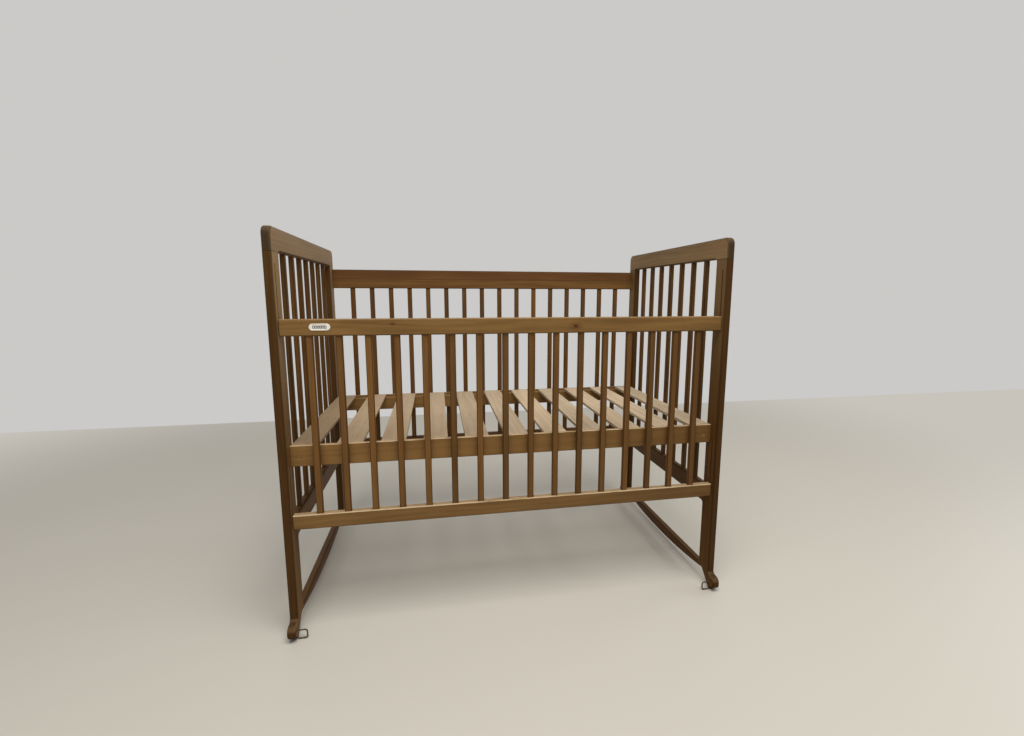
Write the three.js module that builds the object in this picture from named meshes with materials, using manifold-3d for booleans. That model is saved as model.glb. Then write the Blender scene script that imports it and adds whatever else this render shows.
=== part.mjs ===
// A wooden crib with barred ends and sides, a slatted mattress base, a front side that slides
// down on guide pins, and a hinged wire stirrup on each foot.
// Millimetres, +Z up. X runs along the crib, Y from front (-Y) to rear (+Y), and the origin is
// on the floor under the middle of the crib.
import * as THREE from "three";
import { mergeVertices } from "three/addons/utils/BufferGeometryUtils.js";
import Module from "manifold-3d";

// Fits
const JOINT_GAP = 0.3; // between glued or bolted wooden pieces
const PIN_GAP = 0.3; // round a guide pin in its groove
const WIRE_GAP = 0.15; // round a wire stirrup in its hole
const RAIL_END_GAP = 1.5; // between the sliding side's rails and the posts

// End panels
const LENGTH = 1250; // over the outer faces of both end panels
const POST_DEPTH = 690; // front face of the front posts to rear face of the rear posts
const HEIGHT = 1078;
const PANEL_THICKNESS = 22;
const POST_WIDTH = 56;
const EDGE_ROUND = 5.5; // rounding of every long edge of an end panel
const TOP_CORNER_RADIUS = 20;
const INNER_CORNER_RADIUS = 8; // corners of the openings between posts and rails
const END_TOP_RAIL_HEIGHT = 59.5;
const END_LOW_RAIL_BOTTOM = 263;
const END_LOW_RAIL_TOP = 320;
const STRETCHER_TOP = 55;
const STRETCHER_MID_BOTTOM = 21.5;
const STRETCHER_ARCH_RISE = 19.9; // of the underside, from the middle to the posts
const END_BAR_COUNT = 7;

// Feet: each post ends in a rounded nose that stands in front of it
const NOSE_PROUD = 31.5; // nose tip in front of the post face
const NOSE_TOP = 46;
const NOSE_TOP_RADIUS = 18;
const NOSE_FILLET = 9; // between the nose and the post face
const TOE_SLOPE = [22.5, 17]; // under the nose: along from the tip, and up from the sole
const TOE_RADII = [9, 8]; // where that slope meets the nose's front and the sole
const HEEL_BEHIND_TIP = 31.5;
const HEEL_STEP = [1.5, 5]; // back and up from the sole to the slope
const SLOPE_LENGTH = 39; // from the heel back to the stretcher's arch
const SLOPE_LEAD = [13, 13, 7, 3]; // how far the slope's curve holds the heel's line, then the arch's

// Wire stirrups
const WIRE_RADIUS = 2;
const STIRRUP_PIVOT_PROUD = 11; // pivot in front of the post face
const STIRRUP_PIVOT_HEIGHT = 26;
const STIRRUP_SPACING = 23.5; // between the centres of its two legs
const STIRRUP_REACH = 24; // foot to the centre of the upright
const STIRRUP_BEND = 6; // radius of its two bends
const STIRRUP_HELD = 14; // upper leg inside the foot
const STIRRUP_END_GAP = 1; // free end to the foot

// Joinery
const TENON_THICKNESS = 10;
const BAR_TENON_DEPTH = 12;
const POST_TENON = [36, 30]; // width and length into the top rail
const LOW_RAIL_TENON = [36, 18]; // height and length into a post
const STRETCHER_TENON = [7, 15];
const REAR_RAIL_TENON_DEPTH = 12;
const REAR_RAIL_TENON_MARGIN = 8; // rail left above and below a tenon

// Bars of the ends and sides
const BAR_WIDTH = 17;
const BAR_THICKNESS = 12;
const BAR_EDGE = 2.5;
const SIDE_BAR_COUNT = 16;
const FRONT_FIRST_BAR = 69; // end panel to the middle of the nearest bar
const REAR_FIRST_BAR = 71.25;

// Front and rear sides
const SIDE_THICKNESS = 20;
const SIDE_EDGE = 3.5;
const FRONT_INSET = 9; // front side's face behind the face of the posts
const REAR_INSET = 8; // rear side's outer face in front of the rear of the posts
const FRONT_TOP_RAIL = [810, 853]; // bottom and top
const FRONT_LOW_RAIL = [299, 339];
const REAR_TOP_RAIL = [938, 1008];
const REAR_LOW_RAIL = [300, 340];
const SIDE_TRAVEL = REAR_TOP_RAIL[1] - FRONT_TOP_RAIL[1];

// Guides of the front side
const PIN_RADIUS = 1.5;
const PIN_HELD = 14; // inside the rail
const GROOVE_DEPTH = 8;
const PIN_END_GAP = 0.8; // pin tip to the groove's floor

// Mattress base
const PLANK_THICKNESS = 18;
const PLANK_BOTTOM = 465;
const PLANK_TOP = 522;
const PLANK_BEHIND_SIDE = 2; // plank face behind the sliding side
const PLANK_EDGE = 2;
const REBATE_CHEEK = 9; // plank left outside the ends of the slats
const SLAT_COUNT = 11;
const SLAT_END_GAP = 1; // first and last slat to the end panels
const SLAT_WIDTH = 66;
const SLAT_THICKNESS = 10;
const SLAT_EDGE = 1.5;

// Bolts that hold the base between the end panels, each with a cross dowel in the plank
const BOLT_RADIUS = 3;
const BOLT_HEAD_RADIUS = 7.5;
const BOLT_HEAD_HEIGHT = 3.5;
const BOLT_SOCKET_RADIUS = 2.5;
const BOLT_SOCKET_DEPTH = 2.2;
const BOLT_IN_PLANK = 33;
const DOWEL_RADIUS = 5;
const DOWEL_FROM_END = 23;
const DOWEL_SLOT = [6, 1, 1.2]; // length, width and depth of its screwdriver slot

// Badge on the front top rail
const BADGE_SIZE = [51, 17.5, 1.6]; // with half round ends
const BADGE_EDGE = 0.6;
const BADGE_FROM_END = 96.5; // left end panel to the middle of the badge
const BADGE_ABOVE_MIDDLE = 1.5; // of the rail

// Fineness of round stretches
const ARC_STEPS = 4; // of each arc of an end panel's outline
const ARCH_STEPS = 8; // of half a stretcher's underside
const EDGE_STEPS = 2; // of a large piece's rounded edge
const SMALL_EDGE_STEPS = 1;
const ROD_SIDES = 16;
const HEX_SIDES = 6;
const BADGE_SIDES = 24;
const WIRE_STEPS = 26; // along a stirrup
const WIRE_SIDES = 8;

// How far a cut runs past the face that it opens, and a tenon back into its own piece
const PAST = 1;

// Values that follow from the sizes above
const innerHalf = LENGTH / 2 - PANEL_THICKNESS;
const panelX = LENGTH / 2 - PANEL_THICKNESS / 2;
const postFace = POST_DEPTH / 2;
const postInner = postFace - POST_WIDTH;
const postMid = postFace - POST_WIDTH / 2;
const railUnderside = HEIGHT - END_TOP_RAIL_HEIGHT;
const stretcherRadius = (postInner ** 2 + STRETCHER_ARCH_RISE ** 2) / (2 * STRETCHER_ARCH_RISE);
const noseTip = postFace + NOSE_PROUD;
const pivotY = postFace + STIRRUP_PIVOT_PROUD;
const frontY = -(postFace - FRONT_INSET - SIDE_THICKNESS / 2);
const rearY = postFace - REAR_INSET - SIDE_THICKNESS / 2;
const plankFace = postFace - FRONT_INSET - SIDE_THICKNESS - PLANK_BEHIND_SIDE;
const plankMid = plankFace - PLANK_THICKNESS / 2;
const plankLength = 2 * (innerHalf - JOINT_GAP);
const boltZ = (PLANK_BOTTOM + PLANK_TOP - SLAT_THICKNESS) / 2;
const frontRailLength = 2 * (innerHalf - RAIL_END_GAP);
const frontBarPitch = 2 * (innerHalf - FRONT_FIRST_BAR) / (SIDE_BAR_COUNT - 1);
const rearBarPitch = 2 * (innerHalf - REAR_FIRST_BAR) / (SIDE_BAR_COUNT - 1);
const slatPitch = (2 * (innerHalf - SLAT_END_GAP) - SLAT_WIDTH) / (SLAT_COUNT - 1);

// Materials
function finish(colour, roughness, metalness) {
  return new THREE.MeshStandardMaterial({ color: colour, roughness, metalness });
}
const WOOD = () => finish(0x5b3c20, 0.45, 0);
const SLAT_WOOD = () => finish(0x8c7258, 0.6, 0);
const DARK_WIRE = () => finish(0x2b2724, 0.4, 0.9);
const STEEL = () => finish(0x8d8a84, 0.35, 1);
const ENAMEL = () => finish(0xe9e4dc, 0.3, 0);

// Solids: closed geometries are joined and cut as manifolds
const wasm = await Module();
wasm.setup();

function toSolid(geometry) {
  const bare = geometry.clone();
  bare.deleteAttribute("normal");
  bare.deleteAttribute("uv");
  const merged = mergeVertices(bare, 1e-4);
  const vertProperties = new Float32Array(merged.attributes.position.array);
  const triVerts = new Uint32Array(merged.index.array);
  return new wasm.Manifold(new wasm.Mesh({ numProp: 3, vertProperties, triVerts }));
}

function toGeometry(solid) {
  const mesh = solid.getMesh();
  const geometry = new THREE.BufferGeometry();
  geometry.setAttribute("position", new THREE.BufferAttribute(new Float32Array(mesh.vertProperties), 3));
  geometry.setIndex(new THREE.BufferAttribute(new Uint32Array(mesh.triVerts), 1));
  geometry.computeVertexNormals();
  return geometry;
}

// Turns that lay an extrusion's length along X or Y, with its section's second axis up
const ALONG_X = new THREE.Matrix4().makeBasis(
  new THREE.Vector3(0, 1, 0), new THREE.Vector3(0, 0, 1), new THREE.Vector3(1, 0, 0));
const ALONG_Y = new THREE.Matrix4().makeBasis(
  new THREE.Vector3(1, 0, 0), new THREE.Vector3(0, 0, 1), new THREE.Vector3(0, -1, 0));

function box(low, high) {
  const size = high.map((value, i) => value - low[i]);
  const geometry = new THREE.BoxGeometry(...size);
  geometry.translate(...high.map((value, i) => (value + low[i]) / 2));
  return toSolid(geometry);
}

// A round rod along one axis, from a start point
function rod(radius, length, axis, start, sides = ROD_SIDES) {
  const geometry = new THREE.CylinderGeometry(radius, radius, length, sides);
  geometry.translate(0, length / 2, 0);
  const turn = new THREE.Quaternion().setFromUnitVectors(new THREE.Vector3(0, 1, 0), axis);
  geometry.applyQuaternion(turn);
  geometry.translate(...start);
  return toSolid(geometry);
}

function roundedRectangle(shape, width, height, radius, centreX = 0, centreY = 0) {
  const [x, y] = [width / 2 - radius, height / 2 - radius];
  shape.absarc(centreX + x, centreY + y, radius, 0, Math.PI / 2, false);
  shape.absarc(centreX - x, centreY + y, radius, Math.PI / 2, Math.PI, false);
  shape.absarc(centreX - x, centreY - y, radius, Math.PI, 1.5 * Math.PI, false);
  shape.absarc(centreX + x, centreY - y, radius, 1.5 * Math.PI, 2 * Math.PI, false);
  shape.closePath();
  return shape;
}

// A straight board with rounded long edges, centred on its section and its length
function board(width, height, length, edge, turn, curveSegments = EDGE_STEPS) {
  const section = roundedRectangle(new THREE.Shape(), width, height, edge);
  const geometry = new THREE.ExtrudeGeometry(section, {
    depth: length, bevelEnabled: false, curveSegments, steps: 1 });
  geometry.translate(0, 0, -length / 2);
  if (turn) geometry.applyMatrix4(turn);
  return toSolid(geometry);
}

function named(name, geometry, material, position = [0, 0, 0]) {
  const mesh = new THREE.Mesh(geometry, material);
  mesh.name = name;
  mesh.position.set(...position);
  return mesh;
}

const sideName = (side) => (side < 0 ? "left" : "right");
const endName = (end) => (end < 0 ? "front" : "rear");

// End panels: the whole frame is rounded as one, then cut at its joints

function archHeight(y) {
  return STRETCHER_MID_BOTTOM + stretcherRadius - Math.sqrt(stretcherRadius ** 2 - y ** 2);
}

function rearHalfOutline() {
  const heel = noseTip - HEEL_BEHIND_TIP;
  const slopeEnd = heel - SLOPE_LENGTH;
  const slopeStart = [heel - HEEL_STEP[0], HEEL_STEP[1]];
  const [frontRadius, soleRadius] = TOE_RADII;
  const soleTurn = Math.atan2(TOE_SLOPE[1], TOE_SLOPE[0]);
  const frontTurn = Math.PI / 2 - soleTurn;
  const half = new THREE.Path();
  half.moveTo(0, HEIGHT);
  half.absarc(postFace - TOP_CORNER_RADIUS, HEIGHT - TOP_CORNER_RADIUS,
    TOP_CORNER_RADIUS, Math.PI / 2, 0, true);
  half.absarc(postFace + NOSE_FILLET, NOSE_TOP + NOSE_FILLET,
    NOSE_FILLET, Math.PI, 1.5 * Math.PI, false);
  half.absarc(noseTip - NOSE_TOP_RADIUS, NOSE_TOP - NOSE_TOP_RADIUS,
    NOSE_TOP_RADIUS, Math.PI / 2, 0, true);
  half.absarc(noseTip - frontRadius, TOE_SLOPE[1] + frontRadius * Math.tan(frontTurn / 2),
    frontRadius, 0, -frontTurn, true);
  half.absarc(noseTip - TOE_SLOPE[0] - soleRadius * Math.tan(soleTurn / 2), soleRadius,
    soleRadius, -frontTurn, -Math.PI / 2, true);
  half.lineTo(heel, 0);
  half.lineTo(...slopeStart);
  half.bezierCurveTo(slopeStart[0] - SLOPE_LEAD[0], slopeStart[1] + SLOPE_LEAD[1],
    slopeEnd + SLOPE_LEAD[2], archHeight(slopeEnd) - SLOPE_LEAD[3], slopeEnd, archHeight(slopeEnd));
  for (let step = 1; step <= ARCH_STEPS; step += 1) {
    const y = slopeEnd * (1 - step / ARCH_STEPS);
    half.lineTo(y, archHeight(y));
  }
  return half.getPoints(ARC_STEPS);
}

function endFrame() {
  const rearHalf = rearHalfOutline();
  const frontHalf = rearHalf.slice(1, -1).map((point) => new THREE.Vector2(-point.x, point.y)).reverse();
  const outline = new THREE.Shape([...rearHalf, ...frontHalf]);
  const openings = [[STRETCHER_TOP, END_LOW_RAIL_BOTTOM], [END_LOW_RAIL_TOP, railUnderside]];
  for (const [low, high] of openings) {
    outline.holes.push(roundedRectangle(
      new THREE.Path(), 2 * postInner, high - low, INNER_CORNER_RADIUS, 0, (low + high) / 2));
  }
  const geometry = new THREE.ExtrudeGeometry(outline, {
    depth: PANEL_THICKNESS - 2 * EDGE_ROUND, steps: 1, curveSegments: EDGE_STEPS,
    bevelEnabled: true, bevelThickness: EDGE_ROUND, bevelSize: EDGE_ROUND,
    bevelOffset: -EDGE_ROUND, bevelSegments: EDGE_STEPS });
  geometry.translate(0, 0, -(PANEL_THICKNESS - 2 * EDGE_ROUND) / 2);
  geometry.applyMatrix4(ALONG_X);
  return toSolid(geometry);
}

// A box through the panel's thickness, between two depths and two heights
function throughPanel(y0, y1, z0, z1, halfThickness = PANEL_THICKNESS) {
  return box([-halfThickness, y0, z0], [halfThickness, y1, z1]);
}

// A tenon, or with some clearance its mortise
function postTenon(end, clearance) {
  const [width, length] = POST_TENON;
  const half = width / 2 + clearance;
  return throughPanel(end * postMid - half, end * postMid + half,
    railUnderside - PAST, railUnderside + length + clearance, TENON_THICKNESS / 2 + clearance);
}

function crossTenon(end, centreZ, [height, length], clearance) {
  const [near, far] = [end * (postInner - PAST), end * (postInner + length + clearance)];
  return throughPanel(Math.min(near, far), Math.max(near, far),
    centreZ - height / 2 - clearance, centreZ + height / 2 + clearance,
    TENON_THICKNESS / 2 + clearance);
}

const lowRailMid = (END_LOW_RAIL_BOTTOM + END_LOW_RAIL_TOP) / 2;
const stretcherEndMid = (STRETCHER_TOP + archHeight(postInner)) / 2;

// Rear rails' tenons, which go into the rear posts from inside
function rearRailTenon(rail, side, clearance) {
  const inner = side * (innerHalf - PAST);
  const deep = side * (innerHalf + REAR_RAIL_TENON_DEPTH + clearance);
  const half = TENON_THICKNESS / 2 + clearance;
  return box(
    [Math.min(inner, deep), rearY - half, rail[0] + REAR_RAIL_TENON_MARGIN - clearance],
    [Math.max(inner, deep), rearY + half, rail[1] - REAR_RAIL_TENON_MARGIN + clearance]);
}

const pinHeights = [FRONT_LOW_RAIL, FRONT_TOP_RAIL].map(([low, high]) => (low + high) / 2);

// Upright guide grooves in a front post, one for the travel of each pin
function guideGrooves(side) {
  const half = PIN_RADIUS + PIN_GAP;
  const mouth = side * (innerHalf - PAST);
  const floor = side * (innerHalf + GROOVE_DEPTH);
  return pinHeights.map((z) => box(
    [Math.min(mouth, floor), frontY - half, z - half],
    [Math.max(mouth, floor), frontY + half, z + SIDE_TRAVEL + half]));
}

function post(frame, side, end) {
  const outward = new THREE.Vector3(side, 0, 0);
  const edges = [end * postInner, end * (noseTip + PAST)].sort((a, b) => a - b);
  let solid = frame.intersect(throughPanel(edges[0], edges[1], -PAST, railUnderside - JOINT_GAP));
  solid = solid.add(postTenon(end, 0));
  solid = solid.subtract(crossTenon(end, lowRailMid, LOW_RAIL_TENON, JOINT_GAP));
  solid = solid.subtract(crossTenon(end, stretcherEndMid, STRETCHER_TENON, JOINT_GAP));
  solid = solid.translate([side * panelX, 0, 0]);
  solid = solid.subtract(rod(BOLT_RADIUS + JOINT_GAP, PANEL_THICKNESS + 2 * PAST, outward,
    [side * (innerHalf - PAST), end * plankMid, boltZ]));
  const wireHole = (WIRE_RADIUS + WIRE_GAP) / Math.cos(Math.PI / ROD_SIDES);
  solid = solid.subtract(rod(wireHole, STIRRUP_HELD + JOINT_GAP + PAST, outward,
    [side * (innerHalf - PAST), end * pivotY, STIRRUP_PIVOT_HEIGHT]));
  if (end < 0) {
    for (const groove of guideGrooves(side)) solid = solid.subtract(groove);
  } else {
    for (const rail of [REAR_TOP_RAIL, REAR_LOW_RAIL]) {
      solid = solid.subtract(rearRailTenon(rail, side, JOINT_GAP));
    }
  }
  return solid.translate([-side * panelX, 0, 0]);
}

const endBarPitch = (2 * postInner - END_BAR_COUNT * BAR_WIDTH) / (END_BAR_COUNT + 1) + BAR_WIDTH;
const endBarPlaces = Array.from({ length: END_BAR_COUNT },
  (_, i) => (i - (END_BAR_COUNT - 1) / 2) * endBarPitch);

// A bar's end inside a rail, with clearance: the bar itself is centred on its own section
function barMortise(width, thickness, x, y, z0, z1) {
  return box([x - width / 2 - JOINT_GAP, y - thickness / 2 - JOINT_GAP, z0],
    [x + width / 2 + JOINT_GAP, y + thickness / 2 + JOINT_GAP, z1]);
}

function endTopRail(frame) {
  const span = noseTip + PAST;
  let solid = frame.intersect(throughPanel(-span, span, railUnderside, HEIGHT + PAST));
  const cornerDrop = frame.intersect(throughPanel(-postInner + JOINT_GAP, postInner - JOINT_GAP,
    railUnderside - INNER_CORNER_RADIUS - PAST, railUnderside + PAST));
  solid = solid.add(cornerDrop);
  for (const end of [-1, 1]) solid = solid.subtract(postTenon(end, JOINT_GAP));
  for (const y of endBarPlaces) {
    solid = solid.subtract(barMortise(BAR_THICKNESS, BAR_WIDTH, 0, y,
      railUnderside - PAST, railUnderside + BAR_TENON_DEPTH));
  }
  return solid;
}

function endLowRailWithBars(frame) {
  const inner = postInner - JOINT_GAP;
  const middle = (STRETCHER_TOP + END_LOW_RAIL_BOTTOM) / 2;
  let solid = frame.intersect(throughPanel(-inner, inner, middle, (END_LOW_RAIL_TOP + railUnderside) / 2));
  for (const end of [-1, 1]) solid = solid.add(crossTenon(end, lowRailMid, LOW_RAIL_TENON, 0));
  const bottom = lowRailMid;
  const top = railUnderside + BAR_TENON_DEPTH - JOINT_GAP;
  const bar = board(BAR_THICKNESS, BAR_WIDTH, top - bottom, BAR_EDGE, null, SMALL_EDGE_STEPS);
  for (const y of endBarPlaces) solid = solid.add(bar.translate([0, y, (top + bottom) / 2]));
  return solid;
}

function stretcher(frame) {
  const inner = postInner - JOINT_GAP;
  const middle = (STRETCHER_TOP + END_LOW_RAIL_BOTTOM) / 2;
  let solid = frame.intersect(throughPanel(-inner, inner, -PAST, middle));
  for (const end of [-1, 1]) solid = solid.add(crossTenon(end, stretcherEndMid, STRETCHER_TENON, 0));
  return solid;
}

// Wire stirrup: a square U on its side, its upper leg held in the foot
class StirrupPath extends THREE.Curve {
  constructor(side) {
    super();
    this.side = side;
    const straight = STIRRUP_REACH - STIRRUP_BEND;
    const quarter = Math.PI * STIRRUP_BEND / 2;
    // Lengths of the upper leg, the first bend, the upright, the second bend and the lower leg
    this.stretches = [STIRRUP_HELD + straight, quarter, STIRRUP_SPACING - 2 * STIRRUP_BEND,
      quarter, straight - STIRRUP_END_GAP];
  }

  getPoint(t) {
    const runs = [];
    let left = t * this.stretches.reduce((sum, length) => sum + length, 0);
    for (const length of this.stretches) {
      runs.push(Math.min(left, length));
      left = Math.max(left - length, 0);
    }
    const [upper, bend, upright, secondBend, lower] = runs;
    const turn = bend / STIRRUP_BEND;
    const secondTurn = secondBend / STIRRUP_BEND;
    const inward = upper - STIRRUP_HELD - lower
      + STIRRUP_BEND * (Math.sin(turn) - 1 + Math.cos(secondTurn));
    const drop = STIRRUP_BEND * (1 - Math.cos(turn) + Math.sin(secondTurn)) + upright;
    return new THREE.Vector3(-this.side * inward, 0, -drop);
  }
}

function stirrup(side) {
  const section = new THREE.Shape();
  section.absarc(0, 0, WIRE_RADIUS, 0, 2 * Math.PI, false);
  return new THREE.ExtrudeGeometry(section, {
    extrudePath: new StirrupPath(side), steps: WIRE_STEPS, curveSegments: WIRE_SIDES / 2,
    bevelEnabled: false });
}

function endPanel(side) {
  const panel = new THREE.Group();
  const frame = endFrame();
  const name = sideName(side);
  panel.position.x = side * panelX;
  for (const end of [-1, 1]) {
    panel.add(named(`${name}_${endName(end)}_post`, toGeometry(post(frame, side, end)), WOOD()));
    panel.add(named(`${name}_${endName(end)}_stirrup`, stirrup(side), DARK_WIRE(),
      [-side * PANEL_THICKNESS / 2, end * pivotY, STIRRUP_PIVOT_HEIGHT]));
  }
  panel.add(named(`${name}_top_rail`, toGeometry(endTopRail(frame)), WOOD()));
  panel.add(named(`${name}_low_rail_and_bars`, toGeometry(endLowRailWithBars(frame)), WOOD()));
  panel.add(named(`${name}_stretcher`, toGeometry(stretcher(frame)), WOOD()));
  return panel;
}

// Sides

function sideBarPlaces(pitch) {
  return Array.from({ length: SIDE_BAR_COUNT }, (_, i) => (i - (SIDE_BAR_COUNT - 1) / 2) * pitch);
}

// A rail with mortises for the bars in its underside (up) or its top (down), centred on its section
function mortisedRail([low, high], length, pitch, up) {
  const half = (high - low) / 2;
  let solid = board(SIDE_THICKNESS, high - low, length, SIDE_EDGE, ALONG_X);
  for (const x of sideBarPlaces(pitch)) {
    const mortise = up
      ? [-half - PAST, -half + BAR_TENON_DEPTH]
      : [half - BAR_TENON_DEPTH, half + PAST];
    solid = solid.subtract(barMortise(BAR_WIDTH, BAR_THICKNESS, x, 0, ...mortise));
  }
  return solid;
}

function frontRail(name, rail, up) {
  let solid = mortisedRail(rail, frontRailLength, frontBarPitch, up);
  for (const side of [-1, 1]) {
    const start = side * (frontRailLength / 2 - PIN_HELD - JOINT_GAP);
    solid = solid.subtract(rod(PIN_RADIUS + JOINT_GAP / 2, PIN_HELD + 2 * PAST,
      new THREE.Vector3(side, 0, 0), [start, 0, 0]));
  }
  return named(name, toGeometry(solid), WOOD(), [0, frontY, (rail[0] + rail[1]) / 2]);
}

function badge() {
  const [width, height, thickness] = BADGE_SIZE;
  const endCentre = (width - height) / 2;
  const oblong = new THREE.Shape();
  oblong.absarc(endCentre, 0, height / 2, -Math.PI / 2, Math.PI / 2, false);
  oblong.absarc(-endCentre, 0, height / 2, Math.PI / 2, 3 * Math.PI / 2, false);
  const geometry = new THREE.ExtrudeGeometry(oblong, {
    depth: thickness - BADGE_EDGE, steps: 1, curveSegments: BADGE_SIDES / 2,
    bevelEnabled: true, bevelThickness: BADGE_EDGE, bevelSize: BADGE_EDGE,
    bevelOffset: -BADGE_EDGE, bevelSegments: 1 });
  geometry.applyMatrix4(ALONG_Y);
  let solid = toSolid(geometry);
  solid = solid.intersect(box([-width, -2 * thickness, -height], [width, 0, height]));
  const railFace = frontY - SIDE_THICKNESS / 2;
  return named("badge", toGeometry(solid), ENAMEL(),
    [BADGE_FROM_END - innerHalf, railFace,
      (FRONT_TOP_RAIL[0] + FRONT_TOP_RAIL[1]) / 2 + BADGE_ABOVE_MIDDLE]);
}

function frontSide() {
  const side = new THREE.Group();
  side.add(frontRail("front_top_rail", FRONT_TOP_RAIL, true));
  side.add(frontRail("front_low_rail", FRONT_LOW_RAIL, false));
  const bottom = FRONT_LOW_RAIL[1] - BAR_TENON_DEPTH + JOINT_GAP;
  const top = FRONT_TOP_RAIL[0] + BAR_TENON_DEPTH - JOINT_GAP;
  const bar = toGeometry(board(BAR_WIDTH, BAR_THICKNESS, top - bottom, BAR_EDGE, null, SMALL_EDGE_STEPS));
  sideBarPlaces(frontBarPitch).forEach((x, i) => {
    side.add(named(`front_bar_${i + 1}`, bar, WOOD(), [x, frontY, (top + bottom) / 2]));
  });
  const pinLength = PIN_HELD + RAIL_END_GAP + GROOVE_DEPTH - PIN_END_GAP;
  for (const end of [-1, 1]) {
    const start = end * (frontRailLength / 2 - PIN_HELD);
    const pin = toGeometry(rod(PIN_RADIUS, pinLength, new THREE.Vector3(end, 0, 0), [0, 0, 0]));
    side.add(named(`${sideName(end)}_low_guide_pin`, pin, STEEL(), [start, frontY, pinHeights[0]]));
    side.add(named(`${sideName(end)}_top_guide_pin`, pin, STEEL(), [start, frontY, pinHeights[1]]));
  }
  side.add(badge());
  return side;
}

function rearSide() {
  const side = new THREE.Group();
  const length = 2 * (innerHalf - JOINT_GAP);
  let top = mortisedRail(REAR_TOP_RAIL, length, rearBarPitch, true);
  let low = board(SIDE_THICKNESS, REAR_LOW_RAIL[1] - REAR_LOW_RAIL[0], length, SIDE_EDGE, ALONG_X);
  const topMid = (REAR_TOP_RAIL[0] + REAR_TOP_RAIL[1]) / 2;
  const lowMid = (REAR_LOW_RAIL[0] + REAR_LOW_RAIL[1]) / 2;
  for (const end of [-1, 1]) {
    top = top.add(rearRailTenon(REAR_TOP_RAIL, end, 0).translate([0, -rearY, -topMid]));
    low = low.add(rearRailTenon(REAR_LOW_RAIL, end, 0).translate([0, -rearY, -lowMid]));
  }
  const barTop = REAR_TOP_RAIL[0] + BAR_TENON_DEPTH - JOINT_GAP;
  const bar = board(BAR_WIDTH, BAR_THICKNESS, barTop - lowMid, BAR_EDGE, null, SMALL_EDGE_STEPS);
  for (const x of sideBarPlaces(rearBarPitch)) {
    low = low.add(bar.translate([x, 0, (barTop - lowMid) / 2]));
  }
  side.add(named("rear_top_rail", toGeometry(top), WOOD(), [0, rearY, topMid]));
  side.add(named("rear_low_rail_and_bars", toGeometry(low), WOOD(), [0, rearY, lowMid]));
  return side;
}

// Mattress base

function plank(end) {
  const height = PLANK_TOP - PLANK_BOTTOM;
  let solid = board(PLANK_THICKNESS, height, plankLength, PLANK_EDGE, ALONG_X, SMALL_EDGE_STEPS);
  const rebateWall = end * (PLANK_THICKNESS / 2 - REBATE_CHEEK);
  const beyond = -end * PLANK_THICKNESS;
  solid = solid.subtract(box(
    [-plankLength, Math.min(rebateWall, beyond), height / 2 - SLAT_THICKNESS],
    [plankLength, Math.max(rebateWall, beyond), height]));
  const boltHeight = boltZ - (PLANK_TOP + PLANK_BOTTOM) / 2;
  for (const side of [-1, 1]) {
    const outward = new THREE.Vector3(side, 0, 0);
    solid = solid.subtract(rod(BOLT_RADIUS + JOINT_GAP, BOLT_IN_PLANK + 2 * PAST, outward,
      [side * (plankLength / 2 - BOLT_IN_PLANK - JOINT_GAP), 0, boltHeight]));
    solid = solid.subtract(rod(DOWEL_RADIUS + JOINT_GAP / 2, PLANK_THICKNESS + 2 * PAST,
      new THREE.Vector3(0, 1, 0),
      [side * (innerHalf - DOWEL_FROM_END), -PLANK_THICKNESS / 2 - PAST, boltHeight]));
  }
  return named(`base_${endName(end)}_plank`, toGeometry(solid), WOOD(),
    [0, end * plankMid, (PLANK_TOP + PLANK_BOTTOM) / 2]);
}

function boltAndDowel(side, end) {
  const outward = new THREE.Vector3(side, 0, 0);
  const shank = PANEL_THICKNESS + BOLT_IN_PLANK;
  const name = `${sideName(side)}_${endName(end)}`;
  let bolt = rod(BOLT_RADIUS, shank, outward, [-side * shank, 0, 0]);
  bolt = bolt.add(rod(BOLT_HEAD_RADIUS, BOLT_HEAD_HEIGHT, outward, [0, 0, 0]));
  bolt = bolt.subtract(rod(BOLT_SOCKET_RADIUS, BOLT_SOCKET_DEPTH + PAST, outward,
    [side * (BOLT_HEAD_HEIGHT - BOLT_SOCKET_DEPTH), 0, 0], HEX_SIDES));
  const across = new THREE.Vector3(0, 1, 0);
  let dowel = rod(DOWEL_RADIUS, PLANK_THICKNESS - 2 * JOINT_GAP, across,
    [0, -PLANK_THICKNESS / 2 + JOINT_GAP, 0]);
  dowel = dowel.subtract(rod(BOLT_RADIUS + JOINT_GAP / 2, 4 * DOWEL_RADIUS, outward,
    [-side * 2 * DOWEL_RADIUS, 0, 0]));
  const [slotLength, slotWidth, slotDepth] = DOWEL_SLOT;
  const slotFace = end * (PLANK_THICKNESS / 2 - JOINT_GAP);
  const slotFloor = slotFace - end * slotDepth;
  dowel = dowel.subtract(box(
    [-slotLength / 2, Math.min(slotFloor, slotFace + end * PAST), -slotWidth / 2],
    [slotLength / 2, Math.max(slotFloor, slotFace + end * PAST), slotWidth / 2]));
  return [
    named(`${name}_base_bolt`, toGeometry(bolt), STEEL(), [side * LENGTH / 2, end * plankMid, boltZ]),
    named(`${name}_cross_dowel`, toGeometry(dowel), STEEL(),
      [side * (innerHalf - DOWEL_FROM_END), end * plankMid, boltZ]),
  ];
}

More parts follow.
